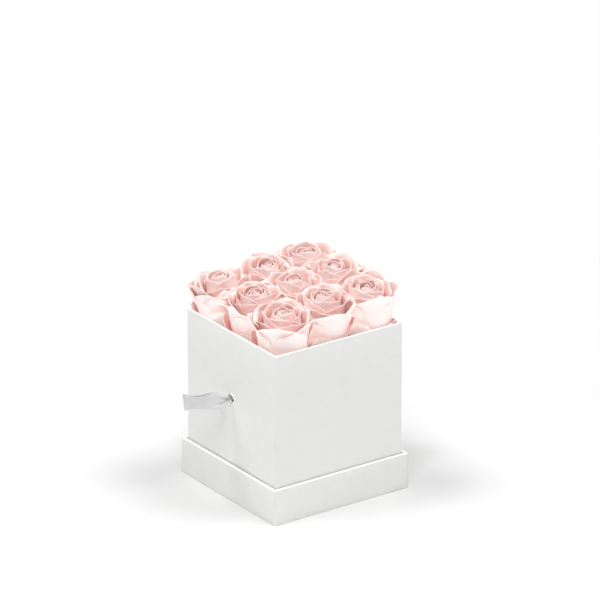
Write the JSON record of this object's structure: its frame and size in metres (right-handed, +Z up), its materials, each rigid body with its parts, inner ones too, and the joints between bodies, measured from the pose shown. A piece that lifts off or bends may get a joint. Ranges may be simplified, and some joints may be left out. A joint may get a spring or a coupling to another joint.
{
  "type": "flower box",
  "caption": "Square white paper box of pale pink preserved roses, standing in its own upturned lid, with a ribbon loop through an eyelet on two sides.",
  "frame": {"origin": "centre of the lid's underside, on the surface the object stands on", "axes": "+Z up; the ribbon loops leave the -X and +X faces; -Y is the plain face at the right of the near corner, which is -X -Y"},
  "size_m": [0.2576, 0.159, 0.2181],
  "materials": {
    "greyboard": "matte",
    "white_paper": "matte",
    "nickel": "polished",
    "satin_ribbon": "satin",
    "floral_foam": "matte",
    "tray_card": "matte",
    "blush_petal": "satin",
    "heart_petal": "satin",
    "sepal": "matte",
    "rose_stem": "matte"
  },
  "bodies": {
    "lid": {"lid_board": "greyboard", "lid_wrap": "white_paper", "lid_lining": "white_paper"},
    "box": {"box_board": "greyboard", "box_wrap": "white_paper", "box_lining": "white_paper", "eyelets": "nickel", "eyelet_washers": "nickel", "ribbon_left_knot": "satin_ribbon", "ribbon_right_knot": "satin_ribbon", "foam_block": "floral_foam", "rose_tray": "tray_card", "rose_1_outer_petals": "blush_petal", "rose_1_inner_petals": "blush_petal", "rose_1_heart": "heart_petal", "rose_1_calyx": "sepal", "rose_1_stem": "rose_stem", "rose_2_outer_petals": "blush_petal", "rose_2_inner_petals": "blush_petal", "rose_2_heart": "heart_petal", "rose_2_calyx": "sepal", "rose_2_stem": "rose_stem", "rose_3_outer_petals": "blush_petal", "rose_3_inner_petals": "blush_petal", "rose_3_heart": "heart_petal", "rose_3_calyx": "sepal", "rose_3_stem": "rose_stem", "rose_4_outer_petals": "blush_petal", "rose_4_inner_petals": "blush_petal", "rose_4_heart": "heart_petal", "rose_4_calyx": "sepal", "rose_4_stem": "rose_stem", "rose_5_outer_petals": "blush_petal", "rose_5_inner_petals": "blush_petal", "rose_5_heart": "heart_petal", "rose_5_calyx": "sepal", "rose_5_stem": "rose_stem", "rose_6_outer_petals": "blush_petal", "rose_6_inner_petals": "blush_petal", "rose_6_heart": "heart_petal", "rose_6_calyx": "sepal", "rose_6_stem": "rose_stem", "rose_7_outer_petals": "blush_petal", "rose_7_inner_petals": "blush_petal", "rose_7_heart": "heart_petal", "rose_7_calyx": "sepal", "rose_7_stem": "rose_stem", "rose_8_outer_petals": "blush_petal", "rose_8_inner_petals": "blush_petal", "rose_8_heart": "heart_petal", "rose_8_calyx": "sepal", "rose_8_stem": "rose_stem", "rose_9_outer_petals": "blush_petal", "rose_9_inner_petals": "blush_petal", "rose_9_heart": "heart_petal", "rose_9_calyx": "sepal", "rose_9_stem": "rose_stem"},
    "ribbon_left": {"ribbon_left_loop": "satin_ribbon"},
    "ribbon_right": {"ribbon_right_loop": "satin_ribbon"}
  },
  "joints": [
    {"name": "box_lift", "type": "slide", "parent": "lid", "child": "box", "axis": [0, 0, 1], "range_m": [0, 0.045]},
    {"name": "ribbon_left_swing", "type": "hinge", "parent": "box", "child": "ribbon_left", "pos_m": [-0.079, 0, 0.1049], "axis": [0, 1, 0], "range_deg": [-50, 50]},
    {"name": "ribbon_right_swing", "type": "hinge", "parent": "box", "child": "ribbon_right", "pos_m": [0.079, 0, 0.1049], "axis": [0, -1, 0], "range_deg": [-50, 50]}
  ]
}
